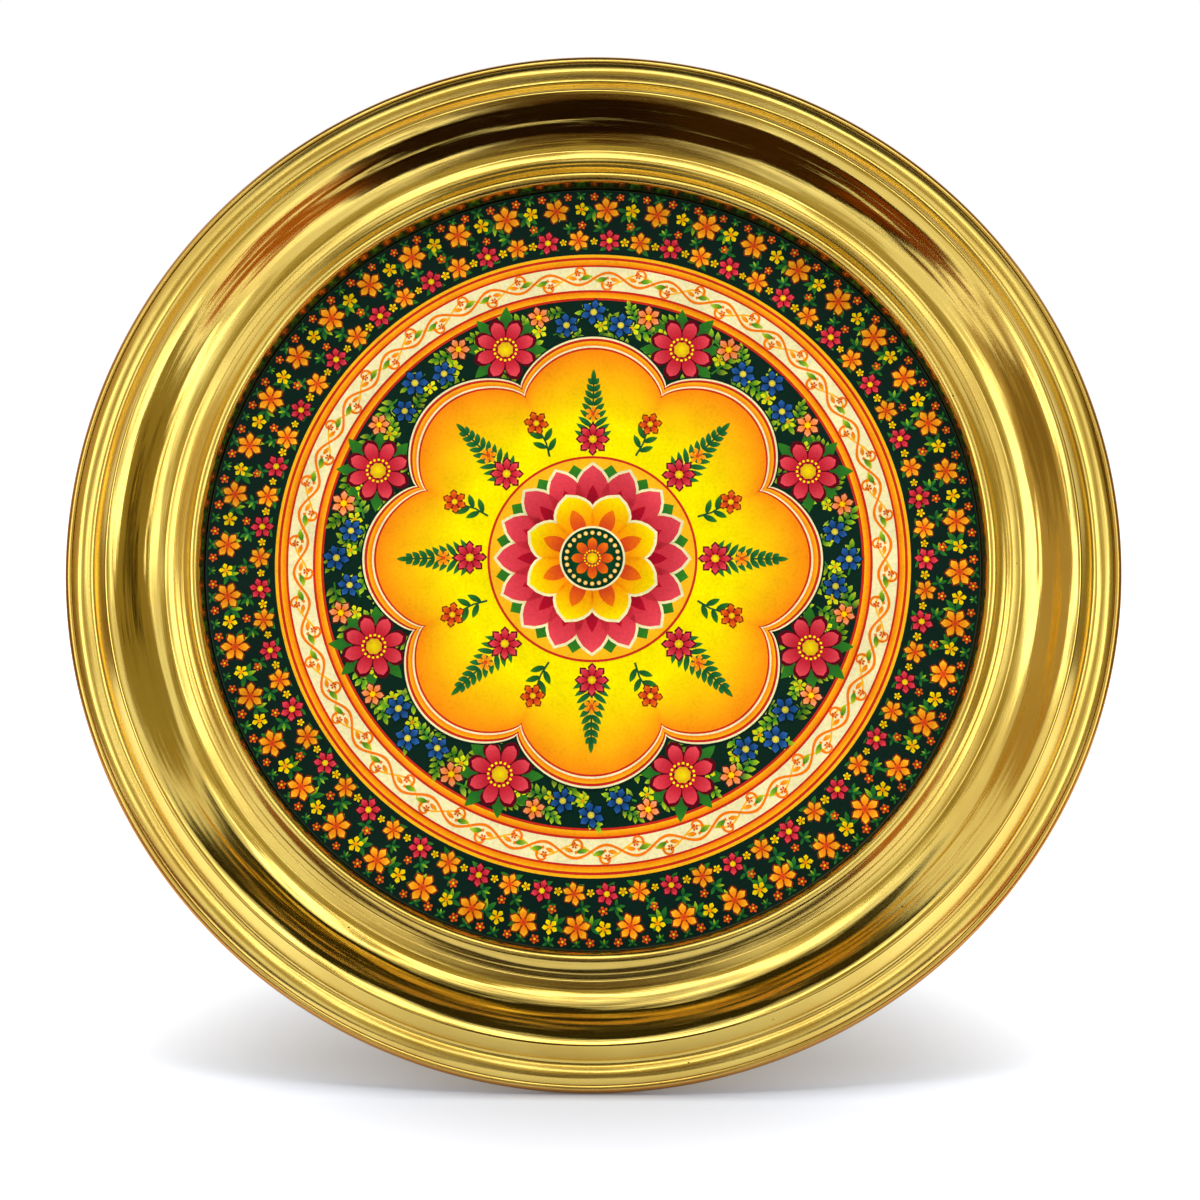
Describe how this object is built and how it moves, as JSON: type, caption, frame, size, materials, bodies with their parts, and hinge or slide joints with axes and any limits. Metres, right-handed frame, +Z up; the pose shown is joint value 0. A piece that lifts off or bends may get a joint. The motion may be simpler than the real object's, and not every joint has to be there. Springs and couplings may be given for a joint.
{
  "type": "decorative plate",
  "caption": "Round dished brass plate with a rolled wire rim, turned mouldings and a round enamelled picture, standing on a hinged strut, with a hanging tab behind.",
  "frame": {"origin": "on the surface it stands on, under the middle of the overall box", "axes": "+Z up, -Y towards the viewer of the picture, +X to the viewer's right; the plate leans back towards +Y"},
  "size_m": [0.305, 0.1178, 0.2868],
  "materials": {
    "polished_brass": "spun, polished and lacquered",
    "wire_steel": "drawn wire, inside the rim",
    "foam": "double-sided foam sheet",
    "picture_enamel": "hand-painted picture under a clear gloss",
    "stamped_brass": "stamped sheet, satin",
    "rivet_brass": "turned, half bright"
  },
  "bodies": {
    "plate": {"brass_plate": "polished_brass", "rim_wire": "wire_steel", "mounting_pad": "foam", "picture_disc": "picture_enamel", "hinge_bracket": "stamped_brass", "hinge_rivets": "rivet_brass", "hinge_pin": "rivet_brass", "hanger_bracket": "stamped_brass", "hanger_rivets": "rivet_brass", "hanger_pin": "rivet_brass"},
    "strut": {"strut_leg": "stamped_brass"},
    "hanger": {"hanging_tab": "stamped_brass"}
  },
  "joints": [
    {"name": "strut_fold", "type": "hinge", "parent": "plate", "child": "strut", "pos_m": [0, 0.02061, 0.16582], "axis": [1, 0, 0], "range_deg": [-34, 0]},
    {"name": "tab_swing", "type": "hinge", "parent": "plate", "child": "hanger", "pos_m": [0, 0.03583, 0.21349], "axis": [1, 0, 0], "range_deg": [-26, 166]}
  ]
}
